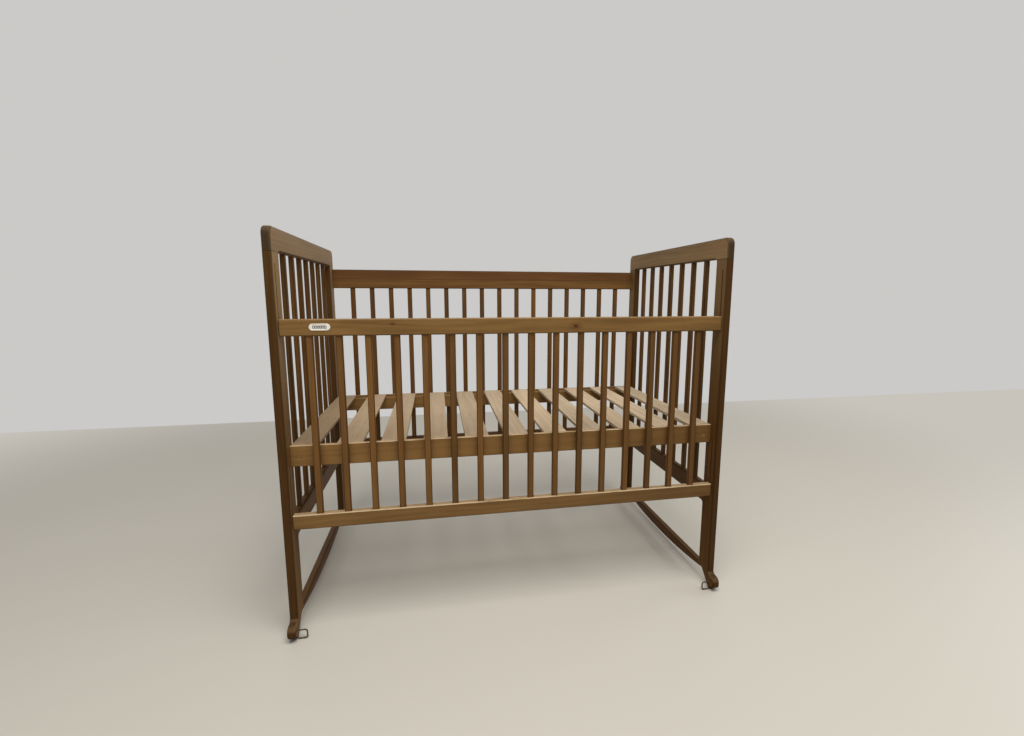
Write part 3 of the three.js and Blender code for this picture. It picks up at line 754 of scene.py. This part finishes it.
class Shader:
    """A material whose nodes are added by expressions."""

    def __init__(self, name):
        self.material = bpy.data.materials.new(name)
        self.material.use_nodes = True
        self.tree = self.material.node_tree
        self.surface = self.tree.nodes["Principled BSDF"]

    def feed(self, socket, value):
        if isinstance(value, Value):
            self.tree.links.new(value.socket, socket)
        else:
            socket.default_value = value

    def node(self, kind, settings=None, inputs=None, output=0):
        """Add a node, set its settings, then its sockets, and give one of its outputs."""
        made = self.tree.nodes.new("ShaderNode" + kind)
        for name, value in (settings or {}).items():
            setattr(made, name, value)
        for name, value in (inputs or {}).items():
            self.feed(made.inputs[name], value)
        return Value(self, made.outputs[output])

    def math(self, operation, *values):
        return self.node("Math", {"operation": operation}, dict(enumerate(values)))

    def vector(self, x, y, z):
        return self.node("CombineXYZ", None, {0: x, 1: y, 2: z})

    def parts(self, vector):
        return [self.node("SeparateXYZ", None, {0: vector}, part) for part in range(3)]

    def noise(self, vector, detail=2.0, roughness=0.5):
        return self.node("TexNoise", None, {
            "Vector": vector, "Scale": 1.0, "Detail": detail, "Roughness": roughness}, "Fac")

    def ramp(self, value, low, high):
        """From 0 at low to 1 at high, with soft ends."""
        return self.node("MapRange", {"interpolation_type": "SMOOTHSTEP"}, {
            "Value": value, "From Min": low, "From Max": high})

    def mix(self, factor, first, second):
        """A colour from first, at a factor of 0, to second, at 1."""
        return self.node("Mix", {"data_type": "RGBA"}, {0: factor, 6: first, 7: second}, 2)

    def scaled(self, colour, factor):
        return self.node("VectorMath", {"operation": "SCALE"}, {0: colour, "Scale": factor})

    def place(self):
        return self.parts(self.node("TexCoord", None, None, "Object"))

    def facing(self):
        return self.parts(self.node("TexCoord", None, None, "Normal"))

    def corner(self):
        """1 in the middle of a rounded edge, and 0 on a flat face."""
        x, y, z = self.facing()
        turned = (self.math("ABSOLUTE", x * y) + self.math("ABSOLUTE", y * z)
                  + self.math("ABSOLUTE", z * x))
        return self.math("MINIMUM", turned * 2.0, 1.0)

    def bump(self, height, strength, distance):
        normal = self.node("Bump", None, {
            "Strength": strength, "Distance": distance, "Height": height})
        self.feed(self.surface.inputs["Normal"], normal)

    def finish(self, **sockets):
        for name, value in sockets.items():
            self.feed(self.surface.inputs[name.replace("_", " ")], value)
        return self.material


def cells_along(axis, pitch, offset=0.0):
    """A number for each of the pieces that stand in a row."""
    def cell(shader, *place):
        return shader.math("FLOOR", place[axis] / pitch + offset)
    return cell


def cells_apart(axis):
    """A number for each of two pieces, on either side of the crib's middle."""
    def cell(shader, *place):
        return shader.math("SIGN", place[axis])
    return cell


def corner_cells(shader, x, y, z):
    """A number for each of the four posts."""
    return shader.math("SIGN", x) + shader.math("SIGN", y) * 2.0


def end_bar_cells(shader, x, y, z):
    """A number for each bar of both end panels."""
    return shader.math("FLOOR", y / END_BAR_PITCH + 0.5) + shader.math("SIGN", x) * 20.0


GOLDEN = (linear(138, 105, 60), linear(102, 73, 38))
LIGHT_BROWN = (linear(122, 88, 48), linear(86, 58, 28))
TAN = (linear(148, 121, 84), linear(112, 89, 59))
BROWN = (linear(112, 78, 40), linear(74, 48, 22))
DARK = (linear(104, 73, 36), linear(64, 41, 16))
BARE = (linear(208, 188, 160), linear(172, 151, 124))
# Paler tone of rubbed edges that face up, also used as a painted highlight on faces that face up
RUBBED_AND_LIT = linear(214, 188, 150)
REDDER = (1.06, 0.93, 0.82, 1)
UPPER_BOARD = linear(86, 52, 30)
GLUE_LINE = linear(48, 30, 16)
KNOT_RINGS = linear(88, 52, 26)
KNOT_HEART = linear(52, 31, 17)
# Painted shade towards the right ends of the front's boards
RIGHT_END_SHADE = linear(88, 60, 30)
# Painted shade of a post's narrow faces
NARROW_FACE_SHADE = linear(52, 33, 14)
JOINT_LINE = linear(34, 22, 11)
BROWN_SLAT = linear(136, 112, 84)
FIRST_SLAT = linear(110, 86, 60)
PALE_ENAMEL = (linear(240, 234, 222), linear(218, 208, 190))
ORNAMENT = linear(52, 48, 52)
STEEL = (linear(168, 164, 156), linear(110, 104, 96))
DULL_STEEL = (linear(160, 154, 144), linear(104, 98, 90))
YELLOW_PLATING = (linear(168, 134, 82), linear(112, 84, 48))
DARK_WIRE = (linear(98, 82, 64), linear(62, 50, 38))

# Textures of wood: how fine they are along the grain and across it, their detail and roughness;
# and how high the finest relief of wood and of metal or enamel is

WARP = (1.6, 16.0, 2.0, 0.5)
FIBRES = (10.0, 420.0, 3.0, 0.6)
BLOTCHES = (5.0, 26.0, 2.0, 0.5)
FLECKS = (110.0, 1500.0, 1.0, 0.5)
SCUFFS = (14.0, 90.0, 3.0, 0.65)
WOOD_RELIEF = 0.0004
FINE_RELIEF = 0.0002


def darkened(colour, share):
    """A colour with a share of its brightness."""
    return (*(part * share for part in colour[:3]), 1)


def wood(name, grain, colours, cell=None, seed=0.0, spread=0.12, wear_and_highlight=0.0, rim=0.6, figure=0.5,
         roughness=0.5, gloss=0.08, end_grain=(0.7, 0.55), extra=None):
    """Wood whose grain runs along an axis, with a tone of its own for each cell.

    Its stain is darker on end grain. Its rounded edges get a painted shade, except those that face up
    where the wood has wear: these are paler from wear, and faces that face up get a painted
    highlight.
    For end grain: how much of the darker tone is mixed in, and how dark that is.
    """
    shader = Shader(name)
    x, y, z = shader.place()
    along, across, deep = {"x": (x, y, z), "y": (y, z, x), "z": (z, x, y)}[grain]
    shift = seed
    if cell:
        number = cell(shader, x, y, z) + seed
        tone, hue, step = shader.parts(shader.node(
            "TexWhiteNoise", {"noise_dimensions": "1D"}, {"W": number}, "Color"))
        shift = step * 31.0 + seed
    along = along + shift

    def texture(lengthwise, crosswise, detail, coarseness):
        return shader.noise(shader.vector(along * lengthwise, across * crosswise, deep * crosswise),
                            detail, coarseness)

    rings = shader.math(
        "SINE", (across + deep * 0.6) * 420.0 + texture(*WARP) * 26.0 + shift) * 0.5 + 0.5
    fibres = texture(*FIBRES)
    flecks = shader.ramp(texture(*FLECKS), 0.60, 0.70)
    depth = ((rings - 0.5) * (0.55 * figure) + (fibres - 0.5) * 0.9
             + (texture(*BLOTCHES) - 0.5) * 1.1 + 0.5)
    depth = shader.math("MINIMUM", shader.math("MAXIMUM", depth, 0.0), 1.0)
    light, dark = colours
    colour = shader.mix(depth, light, dark)
    colour = shader.mix(flecks * 0.35, colour, darkened(dark, 0.6))
    if cell:
        colour = shader.scaled(colour, tone * (2 * spread) + (1 - spread))
        colour = shader.mix(hue * 0.35, colour, tuple(a * b for a, b in zip(light, REDDER)))
    if extra:
        colour = extra(shader, colour, x, y, z, fibres)
    facing = dict(zip("xyz", shader.facing()))
    at_end = shader.ramp(shader.math("ABSOLUTE", facing[grain]), 0.6, 0.95)
    share, shade = end_grain
    colour = shader.mix(at_end * share, colour, darkened(dark, shade))
    up = shader.ramp(facing["z"], 0.05, 0.45)
    edge = shader.corner()
    edge_shade_share = 1.0 - up * (1.0 if wear_and_highlight else 0.0)
    # Painted shade: rounded edges are darkened as if turned from the light, but not edges that face
    # up where there is wear.
    colour = shader.mix(edge * rim * edge_shade_share, colour, darkened(dark, 0.4))
    rubbed_and_lit = 0.0
    if wear_and_highlight:
        # Edges that face up get paler wear, and faces that face up get a painted highlight of light
        # from above.
        top = shader.ramp(facing["z"], 0.8, 0.97) * 0.45
        scuff = shader.ramp(texture(*SCUFFS), 0.2, 0.55)
        rubbed_and_lit = shader.math("MAXIMUM", edge * up, top) * scuff * wear_and_highlight
        colour = shader.mix(rubbed_and_lit, colour, RUBBED_AND_LIT)
    shader.bump((1.0 - flecks) * 0.5 + fibres * 0.5 + rings * 0.15, 0.22, WOOD_RELIEF)
    return shader.finish(
        Base_Color=colour, Roughness=roughness + (fibres - 0.5) * 0.22 + rubbed_and_lit * 0.2,
        Specular_IOR_Level=gloss, Coat_Weight=0.03, Coat_Roughness=0.3)


def metal(name, colours, roughness, metallic=1.0):
    """Drawn or turned metal, with darker patches and fine scratches."""
    shader = Shader(name)
    x, y, z = shader.place()
    patches = shader.noise(shader.vector(x * 160.0, y * 160.0, z * 160.0), 3.0, 0.6)
    scratches = shader.noise(shader.vector(x * 240.0, y * 1800.0, z * 1800.0))
    shader.bump(scratches + patches * 0.4, 0.12, FINE_RELIEF)
    return shader.finish(
        Base_Color=shader.mix(shader.ramp(patches, 0.35, 0.7), *colours), Metallic=metallic,
        Roughness=roughness + (patches - 0.5) * 0.25 + (scratches - 0.5) * 0.15)


def enamel(name):
    """Pale enamel with a plain ornament of two crossing waves, a little soiled."""
    shader = Shader(name)
    x, y, z = shader.place()
    middle = middle_of("badge")
    turn = (x - middle.x) * (math.tau / WAVE_LENGTH)
    wave = shader.math("SINE", turn) * WAVE_HEIGHT
    slope = shader.math("COSINE", turn) * (WAVE_HEIGHT * math.tau / WAVE_LENGTH)
    stretch = shader.math("SQRT", slope * slope + 1.0)
    distance = shader.math("MINIMUM", shader.math("ABSOLUTE", z - middle.z - wave),
                           shader.math("ABSOLUTE", z - middle.z + wave)) / stretch
    ends = 1.0 - shader.ramp(shader.math("ABSOLUTE", x - middle.x), WAVES_REACH, WAVES_REACH + 0.0003)
    ornament = (1.0 - shader.ramp(distance, WAVE_LINE, WAVE_LINE + 0.0005)) * ends
    soil = shader.noise(shader.vector(x * 60.0, y * 60.0, z * 60.0), 4.0, 0.6)
    colour = shader.mix(shader.ramp(soil, 0.42, 0.75), *PALE_ENAMEL)
    colour = shader.mix(ornament * 0.95, colour, ORNAMENT)
    shader.bump(soil, 0.05, FINE_RELIEF)
    return shader.finish(Base_Color=colour, Roughness=0.28 + soil * 0.12, Coat_Weight=0.5,
                         Coat_Roughness=0.15)


def two_boards(shader, colour, x, y, z, fibres):
    """The rear rail is glued from two boards: a redder one above and a light brown one below."""
    middle = (REAR_RAIL_LOW.z + REAR_RAIL_HIGH.z) / 2
    upper = shader.ramp(z, middle - 0.0005, middle + 0.0005)
    colour = shader.mix(upper * 0.45, colour, UPPER_BOARD)
    seam = 1.0 - shader.ramp(shader.math("ABSOLUTE", z - middle), 0.0004, 0.0016)
    return shader.mix(seam * 0.6, colour, GLUE_LINE)


def knots(*places):
    """Knots in a rail's front face, each with a place along X, one up Z and a radius."""
    def add(shader, colour, x, y, z, fibres):
        for place_x, place_z, radius in places:
            dx, dz = (x - place_x) * 0.62, z - place_z
            distance = shader.math("SQRT", dx * dx + dz * dz) + (fibres - 0.5) * (radius * 0.5)
            halo = 1.0 - shader.ramp(distance, radius * 0.8, radius * 3.0)
            heart = 1.0 - shader.ramp(distance, radius * 0.35, radius * 1.1)
            rings = shader.math("SINE", distance * (16.0 / radius)) * 0.5 + 0.5
            colour = shader.mix(halo * (rings * 0.35 + 0.25), colour, KNOT_RINGS)
            colour = shader.mix(heart * 0.8, colour, KNOT_HEART)
        return colour
    return add


def shaded_right_end(shader, colour, x, y, z, fibres):
    """Boards of the front that are darker towards their right ends: painted shade, where less light
    falls.
    """
    return shader.mix(shader.ramp(x, -0.2, 0.75) * 0.55, colour, RIGHT_END_SHADE)


def shaded_by_facing(shader, colour, x, y, z, fibres):
    """A post's broad faces are paler towards the top and its narrow ones dark: painted light and
    shade by how each face turns to the lamps. Its joint is dark.

    The posts of the left end are paler than those of the right one, also painted light.
    """
    broad, narrow, _ = (shader.math("ABSOLUTE", part) for part in shader.facing())
    right = shader.ramp(x, -0.3, 0.3)
    # Painted light: paler towards the top, and more so on the posts of the left end.
    pale = shader.ramp(z, 0.5, 1.0) * (0.7 - right * 0.25) + (1.0 - right) * 0.15
    colour = shader.mix(broad * pale, colour, TAN[0])
    # Painted shade on the narrow faces.
    colour = shader.mix(narrow * 0.5, colour, NARROW_FACE_SHADE)
    seam = 1.0 - shader.ramp(RAIL_UNDERSIDE - z, 0.0008, 0.0022)
    return shader.mix(seam * 0.75, colour, JOINT_LINE)


def browner_left(shader, colour, x, y, z, fibres):
    """The slats are browner towards the left, most of all the first."""
    first = 1.0 - shader.ramp(x, -0.54, -0.53)
    left = 1.0 - shader.ramp(x, -0.6, 0.45)
    colour = shader.mix(left * 0.75, colour, BROWN_SLAT)
    return shader.mix(first * 0.6, colour, FIRST_SLAT)


def dress(piece, name, body, material=None):
    """Name a finished piece, give it its finish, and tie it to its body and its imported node."""
    smooth(piece)
    piece.name = name
    piece.data.name = name
    if material:
        piece.data.materials.append(material)
    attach(piece, body)
    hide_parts(name)


# The crib

def end_panels():
    panel = end_frame()
    # The end top rails' pale tan is partly their own tone and partly painted light and sheen; their
    # front and back faces, end grain, are darkened almost to black, partly a painted shade.
    top_wood = wood("stained_end_top_rail", "y", TAN, cells_apart(0), 2.0, rim=0.9,
                    end_grain=(0.9, 0.18))
    rail_wood = wood("stained_end_rail", "y", DARK, cells_apart(0), 3.0)
    post_wood = wood("stained_post", "z", DARK, corner_cells, 5.0, wear_and_highlight=0.06, gloss=0.04, extra=shaded_by_facing)
    bar_wood = wood("stained_end_bar", "z", DARK, end_bar_cells, 9.0)
    for side in (-1, 1):
        name = side_name(side)
        for end in (-1, 1):
            dress(post(panel, side, end), f"{corner_name(side, end)}_post", "frame",
                  post_wood)
        for part, make, finish in (("top_rail", end_top_rail, top_wood),
                                   ("stretcher", stretcher, rail_wood)):
            piece = shifted(make(panel), (side * PANEL_MIDDLE, 0, 0))
            dress(piece, f"{name}_{part}", "frame", finish)
        first = bar(BAR_THICKNESS, BAR_WIDTH, LOW_RAIL_MIDDLE, END_BARS_HIGH.z)
        piece = rail_with_bars(end_low_rail(panel), first, [(0, y, 0) for y in END_BAR_PLACES],
                               rail_wood, bar_wood)
        dress(shifted(piece, (side * PANEL_MIDDLE, 0, 0)), f"{name}_low_rail_and_bars", "frame")
    remove(panel)


def front_side():
    first_low, first_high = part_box("front_bar_1")
    last = middle_of(f"front_bar_{SIDE_BARS}")
    first = (first_low + first_high) / 2
    pitch = (last.x - first.x) / (SIDE_BARS - 1)
    knot_z = (FRONT_RAIL_LOW.z + FRONT_RAIL_HIGH.z) / 2
    top_wood = wood("stained_front_top_rail", "x", GOLDEN, seed=12.0, wear_and_highlight=0.12, gloss=0.12,
                    extra=knots((0.160, knot_z - 0.003, 0.0055), (-0.330, knot_z + 0.008, 0.0028)))
    low_wood = wood("stained_front_low_rail", "x", GOLDEN, seed=17.0, wear_and_highlight=0.8, gloss=0.15,
                    extra=shaded_right_end)
    bar_wood = wood("stained_front_bar", "z", LIGHT_BROWN, cells_along(0, pitch), 21.0, spread=0.2,
                    rim=0.8, extra=shaded_right_end)
    body = "front_side"
    dress(front_rail("front_top_rail", False), "front_top_rail", body, top_wood)
    dress(front_rail("front_low_rail", True), "front_low_rail", body, low_wood)
    upright = bar(BAR_WIDTH, BAR_THICKNESS, first_low.z, first_high.z)
    for place in range(SIDE_BARS):
        piece = copied(upright, (first.x + place * pitch, first.y, 0))
        dress(piece, f"front_bar_{place + 1}", body, bar_wood)
    remove(upright)
    steel = metal("steel", STEEL, 0.35)
    for side in (-1, 1):
        for level in ("low", "top"):
            node = f"{side_name(side)}_{level}_guide_pin"
            dress(guide_pin(node), node, body, steel)
    dress(badge(), "badge", body, enamel("badge_enamel"))


def rear_side():
    top_wood = wood("stained_rear_top_rail", "x", LIGHT_BROWN, seed=31.0, extra=two_boards)
    low_wood = wood("stained_rear_low_rail", "x", BROWN, seed=37.0)
    bar_wood = wood("stained_rear_bar", "z", BROWN, cells_along(0, REAR_BAR_PITCH), 41.0, spread=0.2)
    dress(rear_top_rail(), "rear_top_rail", "frame", top_wood)
    low, high = rear_low_rail()
    first = bar(BAR_WIDTH, BAR_THICKNESS, (low.z + high.z) / 2, REAR_BARS_HIGH.z)
    piece = rail_with_bars(rear_rail(low, high), first, REAR_BAR_SHIFTS, low_wood, bar_wood)
    dress(piece, "rear_low_rail_and_bars", "frame")


def mattress_base():
    plank_wood = wood("stained_plank", "x", GOLDEN, cells_apart(1), 51.0, wear_and_highlight=1.0, gloss=0.12,
                      extra=shaded_right_end)
    for end in (-1, 1):
        dress(plank(end), f"base_{end_name(end)}_plank", "frame", plank_wood)
    low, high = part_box("slat_1")
    pitch = middle_of("slat_2").x - middle_of("slat_1").x
    slat_wood = wood("bare_slat", "y", BARE, cells_along(0, pitch, 0.5), 61.0, wear_and_highlight=0.5,
                     spread=0.15, rim=0.3, figure=0.9, roughness=0.65, gloss=0.1,
                     extra=browner_left)
    first = board(low, high, 1, SLAT_ROUND, steps=3)
    for place in range(SLATS):
        piece = copied(first, (place * pitch, 0, 0))
        dress(piece, f"slat_{place + 1}", "frame", slat_wood)
    remove(first)


def hardware():
    wire = metal("dark_wire", DARK_WIRE, 0.5, 0.5)
    steel = metal("dull_steel", DULL_STEEL, 0.38)
    brass = metal("yellow_plating", YELLOW_PLATING, 0.45, 0.7)
    first = stirrup()
    apart = middle_of("left_rear_stirrup").y - middle_of("left_front_stirrup").y
    for side in (-1, 1):
        for end in (-1, 1):
            name = corner_name(side, end)
            if side < 0:
                piece = copied(first, (0, apart if end > 0 else 0, 0))
            else:
                piece = copied(first)
                bpy.ops.transform.rotate(value=math.pi, orient_axis="Z", center_override=(0, 0, 0))
                shifted(piece, (0, 0 if end > 0 else -apart, 0))
            dress(piece, f"{name}_stirrup", f"stirrup_{name}", wire)
            dress(base_bolt(side, end), f"{name}_base_bolt", "frame", steel)
            dress(cross_dowel(side, end), f"{name}_cross_dowel", "frame", brass)
    remove(first)


end_panels()
front_side()
rear_side()
mattress_base()
hardware()


# Camera at the photograph's place, soft lamps, pale room and floor. Angles are in radians, and the
# lens and its sensor in millimetres.

CAMERA_PLACE = (-0.21806, -1.57574, 0.91305)
CAMERA_TURN = -0.18164
CAMERA_DIP = 0.14432
CAMERA_ROLL = 0.00182
LENS = 16.3936
SENSOR_WIDTH = 36
PICTURE_WIDTH = 1024
SHIFT_PIXELS = (-10.341, -5.111)
FLOOR_SIZE = (24, 12)
FLOOR_MIDDLE = (0, -4.0, 0)
FLOOR_FADE = (1.7, 4.0)


def camera():
    unselect()
    turn = Euler((0, 0, CAMERA_TURN)).to_matrix()
    turn = turn @ Euler((math.pi / 2 - CAMERA_DIP, 0, 0)).to_matrix()
    turn = turn @ Euler((0, 0, CAMERA_ROLL)).to_matrix()
    bpy.ops.object.camera_add(location=CAMERA_PLACE, rotation=turn.to_euler())
    made = bpy.context.object
    made.data.sensor_width = SENSOR_WIDTH
    made.data.lens = LENS
    made.data.shift_x, made.data.shift_y = (shift / PICTURE_WIDTH for shift in SHIFT_PIXELS)
    made.data.clip_start = 0.01
    bpy.context.scene.camera = made


def lamp(name, place, aim, size, power):
    """A rectangular lamp that faces a point."""
    unselect()
    turn = (Vector(aim) - Vector(place)).to_track_quat("-Z", "Y").to_euler()
    bpy.ops.object.light_add(type="AREA", location=place, rotation=turn)
    made = bpy.context.object
    made.name = name
    made.data.shape = "RECTANGLE"
    made.data.size, made.data.size_y = size
    made.data.energy = power


def seen_rays(tree):
    """1 where something is seen directly, reflected or through glass, and 0 where it only lights."""
    path = tree.nodes.new("ShaderNodeLightPath")
    either = path.outputs["Is Camera Ray"]
    for kind in ("Is Glossy Ray", "Is Transmission Ray"):
        most = tree.nodes.new("ShaderNodeMath")
        most.operation = "MAXIMUM"
        tree.links.new(either, most.inputs[0])
        tree.links.new(path.outputs[kind], most.inputs[1])
        either = most.outputs[0]
    return either


def room(background, light, strength):
    """A room that is pale where it is seen directly or reflected, and lights softly."""
    world = bpy.context.scene.world or bpy.data.worlds.new("room")
    bpy.context.scene.world = world
    world.use_nodes = True
    tree = world.node_tree
    soft = tree.nodes["Background"]
    soft.inputs["Color"].default_value = light
    soft.inputs["Strength"].default_value = strength
    seen = tree.nodes.new("ShaderNodeBackground")
    seen.inputs["Color"].default_value = background
    blend = tree.nodes.new("ShaderNodeMixShader")
    tree.links.new(seen_rays(tree), blend.inputs[0])
    tree.links.new(soft.outputs[0], blend.inputs[1])
    tree.links.new(seen.outputs[0], blend.inputs[2])
    tree.links.new(blend.outputs[0], tree.nodes["World Output"].inputs["Surface"])


def floor(colour, far_colour):
    """A floor that keeps the crib's shadow, and far away is of one pale colour."""
    unselect()
    bpy.ops.mesh.primitive_plane_add(size=1, location=FLOOR_MIDDLE)
    ground = bpy.context.object
    ground.name = "floor"
    ground.scale = (*FLOOR_SIZE, 1)
    settle(ground)
    shader = Shader("pale_floor")
    x, y, _ = shader.place()
    far = shader.ramp(shader.math("SQRT", x * x + y * y), *FLOOR_FADE)
    glow = shader.node("Emission", None, {"Color": far_colour})
    blend = shader.node("MixShader", None, {
        0: far * Value(shader, seen_rays(shader.tree)),
        1: Value(shader, shader.surface.outputs[0]),
        2: glow})
    shader.feed(shader.tree.nodes["Material Output"].inputs["Surface"], blend)
    ground.data.materials.append(shader.finish(Base_Color=colour, Roughness=0.5))


bpy.context.scene.view_settings.view_transform = "Standard"
camera()
lamp("ceiling", (0.1, -1.5, 3.2), (0, -0.2, 0.5), (2.6, 1.8), 96)
lamp("window", (4.6, 0.4, 2.2), (0, 0, 0.6), (2.4, 2.4), 50)
lamp("near_left", (-1.7, -2.2, 1.3), (-0.3, -0.3, 0.6), (1.0, 1.0), 3)
lamp("behind", (0, 3.4, 2.4), (0, 0, 0.5), (2.4, 1.6), 8)
room(linear(203, 202, 200), (0.62, 0.61, 0.6, 1), 0.4)
floor(linear(205, 199, 186), linear(200, 196, 188))
